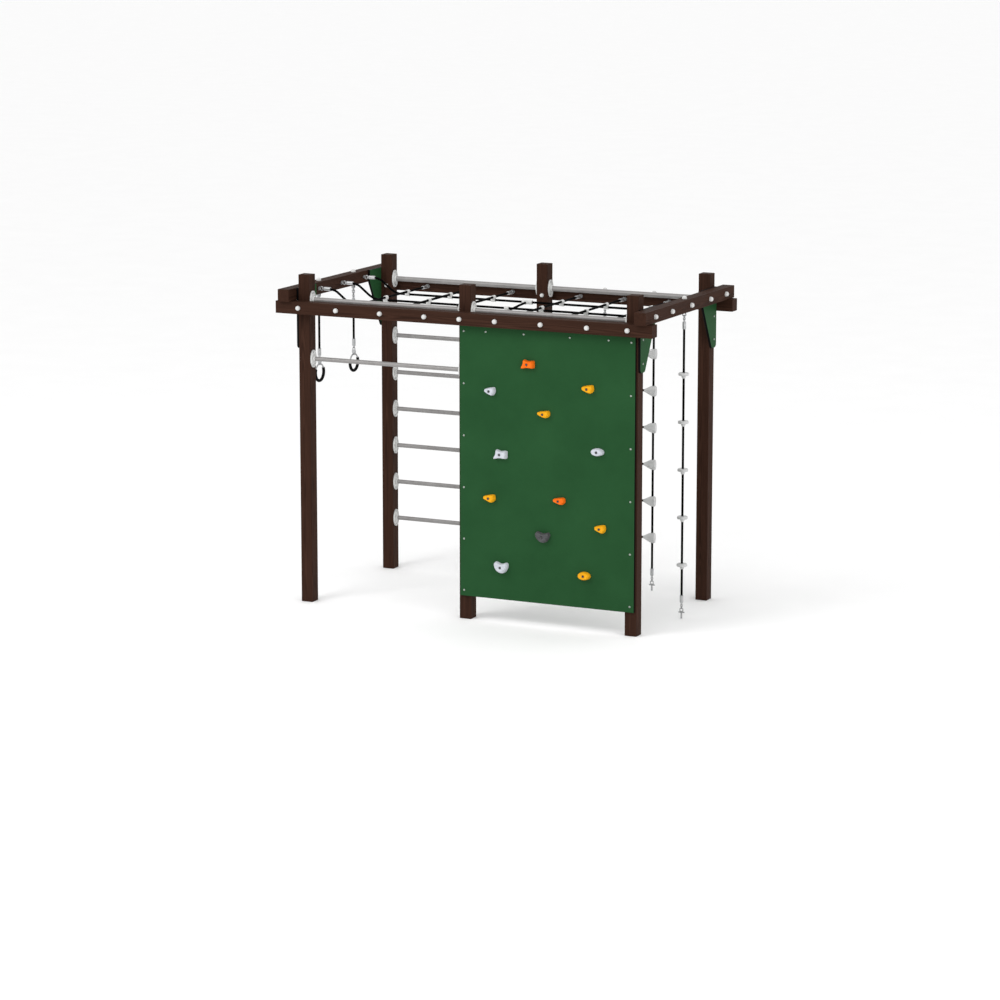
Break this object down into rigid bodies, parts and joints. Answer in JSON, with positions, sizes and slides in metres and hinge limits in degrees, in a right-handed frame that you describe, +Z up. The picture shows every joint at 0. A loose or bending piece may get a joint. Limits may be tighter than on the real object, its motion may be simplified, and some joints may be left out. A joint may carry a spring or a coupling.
{
  "type": "monkey bars climbing frame",
  "caption": "Timber climbing frame with an overhead rope net, wall bars, a turning bar, a climbing panel with holds, a rope ladder, a foothold rope and swinging gym rings.",
  "frame": {"origin": "on the ground, in the middle of the six posts", "axes": "+X along the frame from the rings towards the foothold rope, +Y from the climbing panel towards the wall bars, +Z up"},
  "size_m": [3.156, 1.73, 2.575],
  "materials": {
    "timber": "stained and oiled, sawn square, dark brown",
    "green_board": "coloured through, fine grained face",
    "grey_tube": "powder coated, satin",
    "white_plastic": "moulded, satin",
    "zinc_steel": "zinc plated",
    "black_rope": "braided",
    "alloy_ferrule": "pressed, satin",
    "grey_plastic": "moulded, satin",
    "black_rubber": "moulded, matte",
    "hold_orange": "cast resin, gritty",
    "hold_white": "cast resin, gritty",
    "hold_yellow": "cast resin, gritty",
    "hold_grey": "cast resin, gritty"
  },
  "bodies": {
    "frame": {"post_front_left": "timber", "post_front_middle": "timber", "post_front_right": "timber", "post_back_left": "timber", "post_back_middle": "timber", "post_back_right": "timber", "long_beam_front": "timber", "long_beam_back": "timber", "cross_beam_left": "timber", "cross_beam_right": "timber", "panel_rail": "timber", "gusset_plates": "green_board", "climbing_panel": "green_board", "top_tubes": "grey_tube", "turning_bar": "grey_tube", "wall_rungs": "grey_tube", "tube_flanges": "white_plastic", "bolt_caps": "white_plastic", "net_connectors": "white_plastic", "flange_screws": "zinc_steel", "board_screws": "zinc_steel", "frame_bolts": "zinc_steel", "frame_nuts": "zinc_steel", "hanger_eye_bolts": "zinc_steel", "net_eye_bolts": "zinc_steel", "chain_links": "zinc_steel", "ground_anchors": "zinc_steel", "swing_hangers": "zinc_steel", "hold_bolts": "zinc_steel", "net_rope_front": "black_rope", "net_rope_middle": "black_rope", "net_rope_back": "black_rope", "net_cross_ropes": "black_rope", "net_centre_rope": "black_rope", "ladder_rope_left": "black_rope", "ladder_rope_right": "black_rope", "ladder_rungs": "black_rope", "knob_rope": "black_rope", "net_ferrules": "alloy_ferrule", "rope_ferrules": "alloy_ferrule", "ladder_cones": "grey_plastic", "knob_discs": "grey_plastic", "holds_orange": "hold_orange", "holds_white": "hold_white", "holds_yellow": "hold_yellow", "holds_grey": "hold_grey"},
    "front_swivel": {"ring_front_swivel": "zinc_steel"},
    "front_line": {"ring_front_chain": "zinc_steel", "ring_front_ferrules": "alloy_ferrule", "ring_front_rope": "black_rope", "ring_front_shackle": "zinc_steel"},
    "front_ring": {"ring_front_hoop": "zinc_steel", "ring_front_grip": "black_rubber"},
    "back_swivel": {"ring_back_swivel": "zinc_steel"},
    "back_line": {"ring_back_chain": "zinc_steel", "ring_back_ferrules": "alloy_ferrule", "ring_back_rope": "black_rope", "ring_back_shackle": "zinc_steel"},
    "back_ring": {"ring_back_hoop": "zinc_steel", "ring_back_grip": "black_rubber"}
  },
  "joints": [
    {"name": "ring_front_swing", "type": "hinge", "parent": "frame", "child": "front_swivel", "pos_m": [-1.493, -0.288, 2.349], "axis": [0, 1, 0], "range_deg": [-60, 60]},
    {"name": "ring_front_sway", "type": "hinge", "parent": "front_swivel", "child": "front_line", "pos_m": [-1.493, -0.288, 2.322], "axis": [1, 0, 0], "range_deg": [-15, 15]},
    {"name": "ring_front_tilt", "type": "hinge", "parent": "front_line", "child": "front_ring", "pos_m": [-1.493, -0.288, 1.812], "axis": [0, 1, 0], "range_deg": [-45, 45]},
    {"name": "ring_back_swing", "type": "hinge", "parent": "frame", "child": "back_swivel", "pos_m": [-1.493, 0.288, 2.349], "axis": [0, 1, 0], "range_deg": [-60, 60]},
    {"name": "ring_back_sway", "type": "hinge", "parent": "back_swivel", "child": "back_line", "pos_m": [-1.493, 0.288, 2.322], "axis": [1, 0, 0], "range_deg": [-15, 15]},
    {"name": "ring_back_tilt", "type": "hinge", "parent": "back_line", "child": "back_ring", "pos_m": [-1.493, 0.288, 1.812], "axis": [0, 1, 0], "range_deg": [-45, 45]}
  ]
}
